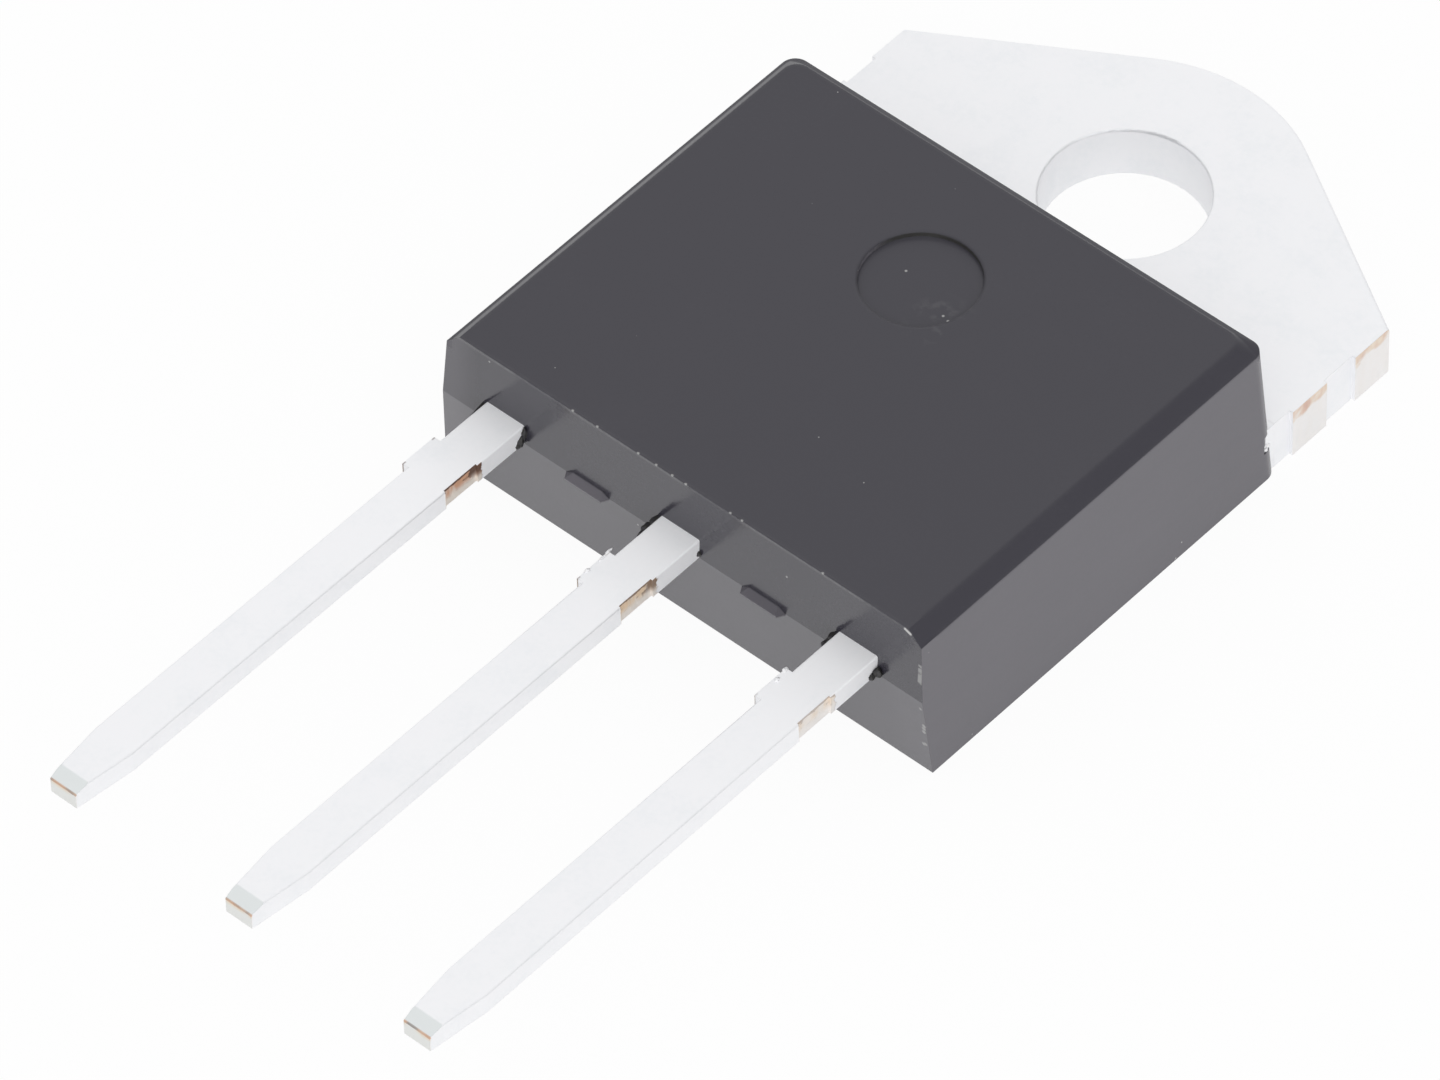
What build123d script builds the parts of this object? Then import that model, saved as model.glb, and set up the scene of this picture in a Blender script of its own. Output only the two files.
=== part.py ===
from build123d import *
import math
import os

# Triac in an insulated flange-mount package. Millimetres.
# Origin: axis of the mounting hole, on the back face that sits on the heat sink.
# +Y runs towards the rounded end of the tab, the leads run towards -Y, +Z is the top of the body.

# ---- moulded body ----
body_base_width = 15.30       # across the body at the back face
body_height = 4.55            # back face to top
hole_to_front = 15.95         # hole axis to the parting edge on the lead side
hole_to_rear = 3.38           # hole axis to the foot of the rear wall, where the tab comes out
draft_upper = 3.7             # degrees, the side walls and the lead-side wall above the parting edge
draft_lower = 3.4             # degrees, the lead-side wall below the parting edge
draft_rear = 2.5              # degrees, the rear wall
top_chamfer = 0.38            # left, right and rear edges of the top
corner_radius = 0.40          # the two upright rear edges
pin_mark_diameter = 3.0       # ejector-pin mark in the top
pin_mark_depth = 0.12
pin_mark_to_hole = 7.4
ledge_width = 1.12            # outer edge of the flash ledge on the parting edge, between two leads
ledge_shift = 0.14            # to the left of midway
ledge_reach = 0.20
ledge_rise = 0.12             # its top slopes up to the wall
ledge_angle = 60              # degrees, at the ends of the ledge
ledge_thickness = 0.04
ledge_root = 0.60             # how deep the ledge is rooted in the wall
flash_reach = 0.60            # flash sliver along the left side of a lead, outside the body
flash_width = 0.08
flash_below_top = 0.03        # the sliver stops this far below the lead's top face
nick_depth = 0.20             # vent nick in a rounded rear corner
nick_height = 0.50
nick_below_tab = 0.12         # from the tab's top plane down to the nick

# ---- heat-sink tab ----
tab_thickness = 1.50
tab_width = 15.0              # between the plain flanks
tab_end_radius = 4.6          # round end, about the hole
shoulder_to_hole = 0.74       # the shoulders lie this far past the hole axis
hole_diameter = 4.2
rim_rollover = 0.06           # rounded rim and outline left by the punch
edge_rollover = 0.10
stub_reach = 0.10             # sheared tie-bar stubs on the flanks
stub_length = 1.25
stub_gap = 1.05               # plain flank between the two stubs
lock_wall = 1.05              # moulding beside the tab's upper layer
lock_cover = 1.65             # moulding in front of it
lock_step = 0.40              # the lower layer is smaller by this much on three sides
lock_height = 0.75            # thickness of the lower layer

# ---- leads ----
lead_pitch = 5.50
lead_width = 1.20
lead_thickness = 0.58
lead_length = 15.0            # outside the body
lead_rollover = 0.05
dambar_stub = 0.17            # sheared dambar stub, proud of the left flank of a lead
dambar_cut = 0.06             # the same shear cuts this deep into the right flank
dambar_length = 1.10
dambar_to_body = 1.60
tip_width = 0.80
tip_taper = 1.70              # the strip narrows over this length
tip_bevel = 0.12
tip_bevel_length = 0.42
head_cover = 1.05             # moulding in front of the anchor heads
head_length = 1.95
head_wall = 0.85              # moulding beside the anchor heads
head_gap = 1.25               # from the centre lead's flank to a head
lock_hole_diameter = 0.90     # hole in a head that the moulding fills
lock_hole_shift = 0.40        # outwards from the lead's centre line

# ---- stack on the tab ----
ceramic_thickness = 0.65
ceramic_side = 0.975          # from the side of the tab's upper layer to the ceramic
ceramic_rear_cover = 0.60     # moulding behind the ceramic
creepage_side = 1.40          # bare ceramic beside the die pad
creepage_end = 0.95           # bare ceramic before and behind the die pad
solder_thick = 0.15           # wide joints under and over the ceramic
solder_inset = 0.15
pad_corner = 0.50
chip_size = 5.6
chip_thickness = 0.32
solder_thin = 0.08            # joints on the chip and on the heads

# ---- clips ----
main_clip_thickness = 0.35
gate_clip_thickness = 0.25
main_foot_width = 2.40
gate_clip_width = 0.85
gate_contact_length = 0.75
clip_gap = 0.80               # between the two clips over the chip
contact_margin = 0.40         # from a clip's contact to the chip's edge
foot_inset = 0.35             # from the head's inner flank to the clip foot
foot_setback = 0.50           # from the head's front edge to the clip foot
foot_length = 1.20
clip_ramp = 0.60              # plan length of the bend up to the chip
joint_inset = 0.10            # a joint lies this far inside its clip's contact

pick_margin = 0.01            # when edges are chosen by their position

# ---- derived ----
upper_slope = math.tan(math.radians(draft_upper))
lower_slope = math.tan(math.radians(draft_lower))
rear_slope = math.tan(math.radians(draft_rear))
lead_z = tab_thickness + solder_thick + ceramic_thickness + solder_thick
lead_top = lead_z + lead_thickness
front_top = -hole_to_front + (body_height - lead_z) * upper_slope
tip_end = -hole_to_front - lead_length
dambar_near = -hole_to_front - dambar_to_body
dambar_far = dambar_near - dambar_length
block_front = -hole_to_front - 2 * corner_radius
nick_from_corner = (math.sqrt(2) - 1) * corner_radius + nick_depth
ledge_taper = math.degrees(math.atan2(ledge_reach, ledge_rise))
ledge_root_half = ledge_width / 2 + (ledge_reach + ledge_root) / math.tan(math.radians(ledge_angle))
chip_z = lead_top + solder_thin
chip_top = chip_z + chip_thickness
clip_low = lead_top + solder_thin
clip_high = chip_top + solder_thin
head_front = -hole_to_front + head_cover
head_back = head_front + head_length
head_inner = lead_width / 2 + head_gap
head_outer = body_base_width / 2 - lead_z * upper_slope - head_wall
lock_half = body_base_width / 2 - lock_wall
lock_front = -hole_to_front + lock_cover
ceramic_half = lock_half - ceramic_side
ceramic_back = -hole_to_rear - ceramic_rear_cover
ceramic_length = ceramic_back - head_back
pad_half = ceramic_half - creepage_side
pad_length = ceramic_length - 2 * creepage_end
stack_y = (head_back + ceramic_back) / 2
chip_front = stack_y - chip_size / 2
chip_back = stack_y + chip_size / 2
main_left = -chip_size / 2 + contact_margin
gate_right = chip_size / 2 - contact_margin
gate_left = gate_right - gate_clip_width
main_right = gate_left - clip_gap
foot_front = head_front + foot_setback
foot_back = foot_front + foot_length
ramp_back = foot_back + clip_ramp
ramp_angle = math.atan2(clip_high - clip_low, clip_ramp)
contact_front = chip_front + contact_margin
contact_back = chip_back - contact_margin
gate_back = contact_front + gate_contact_length
main_foot_right = -head_inner - foot_inset
main_foot_left = main_foot_right - main_foot_width
gate_foot_left = head_inner + foot_inset
gate_foot_right = gate_foot_left + gate_clip_width


def rectangle_between(x1, y1, x2, y2):
    """Rectangle from corner to corner."""
    with Locations(((x1 + x2) / 2, (y1 + y2) / 2)):
        Rectangle(x2 - x1, y2 - y1)


def block_outline(z, inset):
    """Plan outline of the drafted block at height z, moved in by an inset at the sides and the rear."""
    half_width = body_base_width / 2 - z * upper_slope - inset
    rear = -hole_to_rear - z * rear_slope - inset
    with Locations((0, (block_front + rear) / 2)):
        RectangleRounded(2 * half_width, rear - block_front, corner_radius)


def lead_strip(x, inner_end):
    """Plan outline of a stamped lead: tapered tip, sheared dambar places, strip to its inner end."""
    with Locations((x, 0)):
        Polygon(
            (-tip_width / 2, tip_end),
            (tip_width / 2, tip_end),
            (lead_width / 2, tip_end + tip_taper),
            (lead_width / 2, dambar_far),
            (lead_width / 2 - dambar_cut, dambar_far),
            (lead_width / 2 - dambar_cut, dambar_near),
            (lead_width / 2, dambar_near),
            (lead_width / 2, inner_end),
            (-lead_width / 2, inner_end),
            (-lead_width / 2, dambar_near),
            (-lead_width / 2 - dambar_stub, dambar_near),
            (-lead_width / 2 - dambar_stub, dambar_far),
            (-lead_width / 2, dambar_far),
            (-lead_width / 2, tip_end + tip_taper),
            align=None,
        )


def anchor_head(side):
    """Wide inner end of an outer lead, with a hole that the moulding fills; side is -1 or 1."""
    with Locations((side * (head_inner + head_outer) / 2, (head_front + head_back) / 2)):
        Rectangle(head_outer - head_inner, head_length)
    with Locations((side * (lead_pitch + lock_hole_shift), (head_front + head_back) / 2)):
        Circle(lock_hole_diameter / 2, mode=Mode.SUBTRACT)


def finish_lead(lead):
    """Tip bevel and rolled-over top edges of a lead; its sheared edges stay sharp."""
    end_face = lead.faces().sort_by(Axis.Y)[0]
    chamfer(end_face.edges().sort_by(Axis.Z)[-1], tip_bevel, tip_bevel_length, reference=end_face)
    top_edges = lead.edges().group_by(Axis.Z)[-1]
    outside = top_edges.filter_by(lambda e: e.bounding_box().min.Y < -hole_to_front)
    lengthwise = outside.filter_by(lambda e: abs(e.tangent_at(0.5).Y) > abs(e.tangent_at(0.5).X))
    fillet(lengthwise.filter_by(lambda e: not dambar_far < e.center().Y < dambar_near), lead_rollover)


def bent_profile(thickness, contact_end):
    """Side profile of a clip: foot on the head, bend up, flat over the chip."""
    bend_shift = thickness * math.tan(ramp_angle / 2)
    Polygon(
        (foot_front, clip_low),
        (foot_back, clip_low),
        (ramp_back, clip_high),
        (contact_end, clip_high),
        (contact_end, clip_high + thickness),
        (ramp_back - bend_shift, clip_high + thickness),
        (foot_back - bend_shift, clip_low + thickness),
        (foot_front, clip_low + thickness),
        align=None,
    )


# ---- heat-sink tab: round end, slanted shoulders, sheared stubs, mould-lock step ----
with BuildPart() as heatsink_tab:
    shoulder_half = tab_width / 2 + stub_reach
    with BuildSketch():
        with BuildLine():
            CenterArc((0, 0), tab_end_radius, 0, 180)
            Line((-shoulder_half, shoulder_to_hole), (shoulder_half, shoulder_to_hole))
        make_hull()
        rectangle_between(-tab_width / 2, -hole_to_rear, tab_width / 2, shoulder_to_hole)
        stub_top = shoulder_to_hole
        for _ in range(2):
            rectangle_between(-shoulder_half, stub_top - stub_length, shoulder_half, stub_top)
            stub_top -= stub_length + stub_gap
    extrude(amount=tab_thickness)
    with BuildSketch():
        low_half = lock_half - lock_step
        rectangle_between(-low_half, lock_front + lock_step, low_half, -hole_to_rear)
    extrude(amount=lock_height)
    with BuildSketch(Plane.XY.offset(lock_height)):
        rectangle_between(-lock_half, lock_front, lock_half, -hole_to_rear)
    extrude(amount=tab_thickness - lock_height)
    Hole(hole_diameter / 2)
    top_edges = heatsink_tab.faces().sort_by(Axis.Z)[-1].edges()
    fillet(top_edges.filter_by(lambda e: e.center().Y > shoulder_to_hole + edge_rollover), edge_rollover)
    rim = heatsink_tab.edges().filter_by(GeomType.CIRCLE).group_by(Axis.Z)[-1]
    fillet(rim.filter_by(lambda e: abs(e.radius - hole_diameter / 2) < pick_margin), rim_rollover)
heatsink_tab.part.label = "heatsink_tab"

# ---- leads ----
with BuildPart() as centre_lead:
    with BuildSketch(Plane.XY.offset(lead_z)):
        lead_strip(0, stack_y)
        with Locations((0, stack_y)):
            RectangleRounded(2 * pad_half, pad_length, pad_corner)
    extrude(amount=lead_thickness)
    finish_lead(centre_lead)
centre_lead.part.label = "centre_lead"

with BuildPart() as left_lead:
    with BuildSketch(Plane.XY.offset(lead_z)):
        lead_strip(-lead_pitch, head_back)
        anchor_head(-1)
    extrude(amount=lead_thickness)
    finish_lead(left_lead)
left_lead.part.label = "left_lead"

with BuildPart() as gate_lead:
    with BuildSketch(Plane.XY.offset(lead_z)):
        lead_strip(lead_pitch, head_back)
        anchor_head(1)
    extrude(amount=lead_thickness)
    finish_lead(gate_lead)
gate_lead.part.label = "gate_lead"

# ---- stack between the tab and the clips ----
with BuildPart() as ceramic_insulator:
    with BuildSketch(Plane.XY.offset(tab_thickness + solder_thick)):
        with Locations((0, stack_y)):
            Rectangle(2 * ceramic_half, ceramic_length)
    extrude(amount=ceramic_thickness)
ceramic_insulator.part.label = "ceramic_insulator"

with BuildPart() as tab_solder:
    with BuildSketch(Plane.XY.offset(tab_thickness)):
        with Locations((0, stack_y)):
            Rectangle(2 * (ceramic_half - solder_inset), ceramic_length - 2 * solder_inset)
    extrude(amount=solder_thick)
tab_solder.part.label = "tab_solder"

with BuildPart() as pad_solder:
    with BuildSketch(Plane.XY.offset(lead_z - solder_thick)):
        with Locations((0, stack_y)):
            Rectangle(2 * (pad_half - solder_inset), pad_length - 2 * solder_inset)
    extrude(amount=solder_thick)
pad_solder.part.label = "pad_solder"

with BuildPart() as chip_solder:
    with BuildSketch(Plane.XY.offset(lead_top)):
        with Locations((0, stack_y)):
            Rectangle(chip_size, chip_size)
    extrude(amount=solder_thin)
chip_solder.part.label = "chip_solder"

with BuildPart() as triac_chip:
    with BuildSketch(Plane.XY.offset(chip_z)):
        with Locations((0, stack_y)):
            Rectangle(chip_size, chip_size)
    extrude(amount=chip_thickness)
triac_chip.part.label = "triac_chip"

# ---- clips: a bent strip, cut to its plan outline ----
with BuildPart() as main_clip:
    with BuildSketch(Plane.YZ):
        bent_profile(main_clip_thickness, contact_back)
    extrude(amount=body_base_width / 2, both=True)
    with BuildSketch(Plane.XY.offset(clip_low)):
        Polygon(
            (main_foot_left, foot_front),
            (main_foot_right, foot_front),
            (main_foot_right, foot_back),
            (main_right, contact_front),
            (main_right, contact_back),
            (main_left, contact_back),
            (main_left, contact_front),
            (main_foot_left, foot_back),
            align=None,
        )
    extrude(amount=body_height, mode=Mode.INTERSECT)
main_clip.part.label = "main_clip"

with BuildPart() as gate_clip:
    with BuildSketch(Plane.YZ):
        bent_profile(gate_clip_thickness, gate_back)
    extrude(amount=body_base_width / 2, both=True)
    with BuildSketch(Plane.XY.offset(clip_low)):
        Polygon(
            (gate_foot_left, foot_front),
            (gate_foot_right, foot_front),
            (gate_foot_right, foot_back),
            (gate_right, contact_front),
            (gate_right, gate_back),
            (gate_left, gate_back),
            (gate_left, contact_front),
            (gate_foot_left, foot_back),
            align=None,
        )
    extrude(amount=body_height, mode=Mode.INTERSECT)
gate_clip.part.label = "gate_clip"

# ---- solder joints of the clips ----
with BuildPart() as clip_chip_solder:
    with BuildSketch(Plane.XY.offset(chip_top)):
        rectangle_between(
            main_left + joint_inset, contact_front + joint_inset,
            main_right - joint_inset, contact_back - joint_inset,
        )
    extrude(amount=solder_thin)
clip_chip_solder.part.label = "clip_chip_solder"

with BuildPart() as clip_lead_solder:
    with BuildSketch(Plane.XY.offset(lead_top)):
        rectangle_between(
            main_foot_left + joint_inset, foot_front + joint_inset,
            main_foot_right - joint_inset, foot_back - joint_inset,
        )
    extrude(amount=solder_thin)
clip_lead_solder.part.label = "clip_lead_solder"

with BuildPart() as gate_chip_solder:
    with BuildSketch(Plane.XY.offset(chip_top)):
        rectangle_between(
            gate_left + joint_inset, contact_front + joint_inset,
            gate_right - joint_inset, gate_back - joint_inset,
        )
    extrude(amount=solder_thin)
gate_chip_solder.part.label = "gate_chip_solder"

with BuildPart() as gate_lead_solder:
    with BuildSketch(Plane.XY.offset(lead_top)):
        rectangle_between(
            gate_foot_left + joint_inset, foot_front + joint_inset,
            gate_foot_right - joint_inset, foot_back - joint_inset,
        )
    extrude(amount=solder_thin)
gate_lead_solder.part.label = "gate_lead_solder"

encapsulated = [
    heatsink_tab, left_lead, centre_lead, gate_lead,
    tab_solder, ceramic_insulator, pad_solder, chip_solder, triac_chip,
    main_clip, clip_chip_solder, clip_lead_solder,
    gate_clip, gate_chip_solder, gate_lead_solder,
]

# ---- moulded body: drafted block, chamfered top, then everything inside taken out of it ----
with BuildPart() as moulded_body:
    with BuildSketch():
        block_outline(0, 0)
    with BuildSketch(Plane.XY.offset(body_height - top_chamfer)):
        block_outline(body_height - top_chamfer, 0)
    with BuildSketch(Plane.XY.offset(body_height)):
        block_outline(body_height, top_chamfer)
    loft(ruled=True)
    # the lead-side wall, drafted both ways from the parting edge
    with BuildSketch(Plane.YZ):
        Polygon(
            (-hole_to_front + lead_z * lower_slope, 0),
            (-hole_to_rear, 0),
            (-hole_to_rear, body_height),
            (front_top, body_height),
            (-hole_to_front, lead_z),
            align=None,
        )
    extrude(amount=body_base_width / 2, both=True, mode=Mode.INTERSECT)
    # ejector-pin mark
    with BuildSketch(Plane.XY.offset(body_height)):
        with Locations((0, -pin_mark_to_hole)):
            Circle(pin_mark_diameter / 2)
    extrude(amount=-pin_mark_depth, mode=Mode.SUBTRACT)
    # vent nicks in the rear corners
    with BuildSketch(Plane.XY.offset(tab_thickness - nick_below_tab)):
        with Locations((-body_base_width / 2, -hole_to_rear), (body_base_width / 2, -hole_to_rear)):
            Rectangle(2 * nick_from_corner, 2 * nick_from_corner, rotation=45)
    extrude(amount=-nick_height, mode=Mode.SUBTRACT)
    # flash ledges on the parting edge, between the leads
    for x in (-lead_pitch / 2, lead_pitch / 2):
        with BuildSketch(Plane.XY.offset(lead_z)) as ledge:
            with Locations((x - ledge_shift, -hole_to_front)):
                Polygon(
                    (-ledge_width / 2, -ledge_reach),
                    (ledge_width / 2, -ledge_reach),
                    (ledge_root_half, ledge_root),
                    (-ledge_root_half, ledge_root),
                    align=None,
                )
        extrude(ledge.sketch, amount=-ledge_thickness)
        extrude(amount=ledge_rise, taper=ledge_taper)
    # flash slivers beside the leads
    with BuildSketch(Plane.XY.offset(lead_z)):
        with Locations((-lead_pitch, -hole_to_front), (0, -hole_to_front), (lead_pitch, -hole_to_front)):
            Polygon(
                (-lead_width / 2, -flash_reach),
                (0, -flash_reach),
                (0, flash_reach),
                (-lead_width / 2 - flash_width, flash_reach),
                (-lead_width / 2 - flash_width, 0),
                align=None,
            )
    extrude(amount=lead_thickness - flash_below_top)
    for piece in encapsulated:
        add(piece.part, mode=Mode.SUBTRACT)
moulded_body.part.label = "moulded_body"

os.makedirs("parts", exist_ok=True)
for piece in [moulded_body] + encapsulated:
    export_step(piece.part, f"parts/{piece.part.label}.step")
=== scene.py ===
"""Finishes, mould and shear marks, floor, lamps and camera for a triac in a flat flange-mount package."""
import math

import bmesh
import bpy
from bpy.props import FloatProperty, FloatVectorProperty, PointerProperty
from mathutils import Matrix, Vector, noise


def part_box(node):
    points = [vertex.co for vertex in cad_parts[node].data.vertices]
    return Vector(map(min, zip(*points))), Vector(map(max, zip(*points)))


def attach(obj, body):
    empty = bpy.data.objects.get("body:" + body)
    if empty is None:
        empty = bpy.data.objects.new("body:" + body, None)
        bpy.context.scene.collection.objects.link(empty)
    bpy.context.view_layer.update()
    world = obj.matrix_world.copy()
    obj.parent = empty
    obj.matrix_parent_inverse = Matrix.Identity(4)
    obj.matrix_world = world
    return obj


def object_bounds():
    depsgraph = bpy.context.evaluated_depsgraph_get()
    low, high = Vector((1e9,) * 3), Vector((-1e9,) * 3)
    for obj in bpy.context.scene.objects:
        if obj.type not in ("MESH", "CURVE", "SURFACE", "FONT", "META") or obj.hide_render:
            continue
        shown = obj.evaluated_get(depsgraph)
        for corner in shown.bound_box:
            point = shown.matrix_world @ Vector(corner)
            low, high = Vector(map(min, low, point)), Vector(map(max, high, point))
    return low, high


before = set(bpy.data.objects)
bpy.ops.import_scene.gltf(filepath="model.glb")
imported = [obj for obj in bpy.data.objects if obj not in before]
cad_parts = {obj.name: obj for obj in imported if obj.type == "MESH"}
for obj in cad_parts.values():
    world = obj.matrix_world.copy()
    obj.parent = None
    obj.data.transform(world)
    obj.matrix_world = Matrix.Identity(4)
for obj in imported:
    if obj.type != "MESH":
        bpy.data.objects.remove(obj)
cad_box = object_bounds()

bl_info = {
    "name": "Triac",
    "version": (1, 0, 0),
    "blender": (4, 5, 0),
    "location": "3D View > Sidebar > Triac",
    "description": "Finishes the packed triac and sets up its studio",
    "category": "Object",
}

MM = 0.001
WHITE = (1.0, 1.0, 1.0, 1.0)
LEADS = {"left_lead": -1, "centre_lead": 0, "gate_lead": 1}
# what the shear left on each lead: how much copper is bared, how golden, how browned and how burred it is
SHEARS = {
    "left_lead": {"bared": 1.0, "golden": 0.10, "browned": 0.60, "burred": 0.95},
    "centre_lead": {"bared": 0.85, "golden": 0.80, "browned": 0.45, "burred": 0.75},
    "gate_lead": {"bared": 0.50, "golden": 0.90, "browned": 0.00, "burred": 0.40},
}
# direction from the part, distance and size in metres, and radiance, where 1 renders as white in a mirror
LAMPS = {
    "back softbox": {"direction": (-0.45, 0.49, 0.75), "distance": 0.42, "size": 0.90, "radiance": 0.47},
    "front softbox": {"direction": (0.62, -0.62, 0.48), "distance": 0.42, "size": 0.60, "radiance": 1.13},
}
_, tab_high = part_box("heatsink_tab")
_, body_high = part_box("moulded_body")
lead_low, lead_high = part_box("centre_lead")


# ---- sizes and colours ----

def length(name, description, millimetres):
    """A length property, given in millimetres and stored in metres."""
    return FloatProperty(
        name=name, description=description, default=millimetres * MM, min=0.0,
        subtype="DISTANCE", unit="LENGTH", precision=5,
    )


def colour(name, description, red, green, blue):
    """A colour property."""
    return FloatVectorProperty(
        name=name, description=description, default=(red, green, blue, 1.0),
        size=4, min=0.0, max=1.0, subtype="COLOR",
    )


class TriacSizes(bpy.types.PropertyGroup):
    """Where the marks lie on the part, and the sizes of the marks."""

    lead_pitch: length("Lead pitch", "Between the centre lines of two leads", 5.5)
    lead_width: length("Lead width", "Across the plain strip of a lead", 1.2)
    shear_start: length("Shear start", "From the body to the sheared part of a lead's flanks", 1.6)
    shear_length: length("Shear length", "Of the sheared part, along the lead", 1.1)
    stub_reach: length("Stub reach", "From a lead's centre line to its sheared left face", 0.77)
    cut_reach: length("Cut reach", "From a lead's centre line to its sheared right face", 0.54)
    tie_width: length("Tie-bar width", "Across the sheared stubs of the tab", 15.2)
    shoulder_width: length("Shoulder width", "Across the tab between the stubs", 15.0)
    shoulder_root: length("Shoulder root", "How far a shoulder runs on into the moulding", 0.32)
    shoulder_depth: length("Shoulder depth", "Of the shoulder's root, in from its side", 0.25)
    shoulder_lift: length("Shoulder lift", "From the back face up to the underside of a root", 0.02)
    notch_floor: length("Notch floor", "Height of the floor of the moulding's right rear notch", 0.88)
    body_to_hole: length("Body to hole", "From the lead side of the body to the hole axis", 15.95)
    front_lean: length("Front lean", "How far the lead side leans back from parting edge to top", 0.135)
    ledge_half: length("Ledge half", "From the middle of two leads to a flash ledge's end, at most", 1.2)
    pin_mark_radius: length("Pin mark radius", "Radius of the ejector-pin mark", 1.5)
    pin_mark_depth: length("Pin mark depth", "Depth of the ejector-pin mark", 0.12)
    pin_mark_to_hole: length("Pin mark to hole", "From the pin mark to the hole axis", 7.4)
    edge_radius: length("Edge radius", "Fine rounding of the sharp edges", 0.02)
    soft_radius: length("Soft edge radius", "Rounding of the moulding's other three top edges", 0.16)
    torn_radius: length("Torn edge radius", "Rounding of torn flash and tin", 0.01)


class TriacColours(bpy.types.PropertyGroup):
    """Colours of the finishes."""

    epoxy: colour("Epoxy", "Moulding compound on the top", 0.038, 0.036, 0.048)
    # Paler epoxy for the walls and ledges: painted light, as the walls catch more light than the top, as
    # well as mould rubbing.
    epoxy_painted_paler: colour("Rubbed epoxy", "Drafted walls rubbed by the mould", 0.134, 0.127, 0.146)
    # Also the colour of the painted shade in the rear of the pin mark's rim.
    flash: colour("Flash", "Thin dark resin flash", 0.020, 0.019, 0.018)
    # Also the colour of the painted glints on the lead side's top edge, its right corner and in the pin
    # mark.
    dust: colour("Dust", "Filler grains and dust", 0.55, 0.55, 0.54)
    tin: colour("Tin", "Matte tin plating", 0.945, 0.948, 0.967)
    tin_smeared: colour("Smeared tin", "Tin smeared over the bevel of a tip", 0.79, 0.825, 0.825)
    tin_dull: colour("Dull tin", "Duller patches of the plating", 0.905, 0.918, 0.940)
    copper: colour("Copper", "Copper bared by shearing", 0.62, 0.30, 0.17)
    copper_gold: colour("Golden copper", "Copper under a thin film of tin", 0.82, 0.61, 0.36)
    copper_pale: colour("Pale copper", "Copper smeared over with tin", 0.84, 0.77, 0.70)
    burr: colour("Burr", "Dark oxide along a burr", 0.12, 0.060, 0.038)
    solder: colour("Solder", "Solder joints inside", 0.52, 0.52, 0.50)
    alumina: colour("Alumina", "Ceramic plate inside", 0.80, 0.79, 0.74)
    silicon: colour("Silicon", "Chip inside", 0.10, 0.11, 0.13)
    clip_copper: colour("Clip copper", "Clips inside", 0.72, 0.40, 0.25)


class StudioSettings(bpy.types.PropertyGroup):
    """Floor, room and camera."""

    floor_size: length("Floor size", "Side of the square floor", 1600.0)
    floor_gap: length("Floor gap", "From the floor up to the part's back face", 0.02)
    floor_colour: colour("Floor colour", "Pale floor", 0.92, 0.92, 0.92)
    floor_white: FloatProperty(
        name="Floor white", description="How far the floor is lifted to plain white",
        default=0.94, min=0.0, max=1.0, subtype="FACTOR",
    )
    sky_level: FloatProperty(
        name="Sky level", description="Radiance of the room all round", default=0.50, min=0.0,
    )
    lens: FloatProperty(
        name="Lens", description="Focal length of the camera, in millimetres", default=317.025, min=1.0,
    )
    sensor: FloatProperty(
        name="Sensor", description="Width of the camera's sensor, in millimetres", default=36.0, min=1.0,
    )
    azimuth: FloatProperty(
        name="Azimuth", description="Camera direction round the part", default=math.radians(43.0717),
        subtype="ANGLE", unit="ROTATION",
    )
    elevation: FloatProperty(
        name="Elevation", description="Camera height above the horizon", default=math.radians(48.3079),
        subtype="ANGLE", unit="ROTATION",
    )
    roll: FloatProperty(
        name="Roll", description="Camera roll", default=math.radians(-1.8230),
        subtype="ANGLE", unit="ROTATION",
    )
    distance: length("Distance", "From the camera to the point it looks at", 295.778)
    target: FloatVectorProperty(
        name="Target", description="The point that the camera looks at",
        default=(0.3269 * MM, -14.9288 * MM, 2.0 * MM), size=3, subtype="TRANSLATION", unit="LENGTH",
    )


# ---- materials: numbers that vary over a surface, and the nodes they come from ----

class Value:
    """A number that varies over a surface; arithmetic on it adds Math nodes to its material."""

    def __init__(self, nodes, socket):
        self.nodes = nodes
        self.socket = socket

    def math(self, operation, first, second=0.0):
        """What a Math node makes of these two."""
        node = self.nodes.add("ShaderNodeMath", {"operation": operation}, {0: first, 1: second})
        return Value(self.nodes, node.outputs[0])

    def __add__(self, other):
        return self.math("ADD", self, other)

    def __sub__(self, other):
        return self.math("SUBTRACT", self, other)

    def __rsub__(self, other):
        return self.math("SUBTRACT", other, self)

    def __mul__(self, other):
        return self.math("MULTIPLY", self, other)

    def __gt__(self, other):
        return self.math("GREATER_THAN", self, other)

    def __abs__(self):
        return self.math("ABSOLUTE", self)

    __radd__ = __add__
    __rmul__ = __mul__

    def or_more(self, other):
        """The larger of this and another."""
        return self.math("MAXIMUM", self, other)

    def rise(self, low, high):
        """0 below low, 1 above high, smooth between them."""
        node = self.nodes.add(
            "ShaderNodeMapRange", {"interpolation_type": "SMOOTHSTEP"},
            {"Value": self, "From Min": low, "From Max": high},
        )
        return Value(self.nodes, node.outputs[0])

    def fall(self, low, high):
        """1 below low, 0 above high, smooth between them."""
        return 1 - self.rise(low, high)

    def within(self, low, high, soft):
        """1 between low and high, fading to 0 over a soft edge."""
        return self.rise(low - soft, low) * self.fall(high, high + soft)


class Nodes:
    """An emptied node tree, and the one method that adds a node to it."""

    def __init__(self, tree):
        self.tree = tree
        self.tree.nodes.clear()

    def add(self, kind, settings=None, inputs=None):
        """A node of this kind, its settings made first, then its sockets set or linked."""
        node = self.tree.nodes.new(kind)
        for name, setting in (settings or {}).items():
            setattr(node, name, setting)
        for key, value in (inputs or {}).items():
            socket = node.inputs[key]
            if isinstance(value, Value):
                value = value.socket
            if isinstance(value, bpy.types.NodeSocket):
                self.tree.links.new(value, socket)
            else:
                socket.default_value = value
        return node


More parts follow.
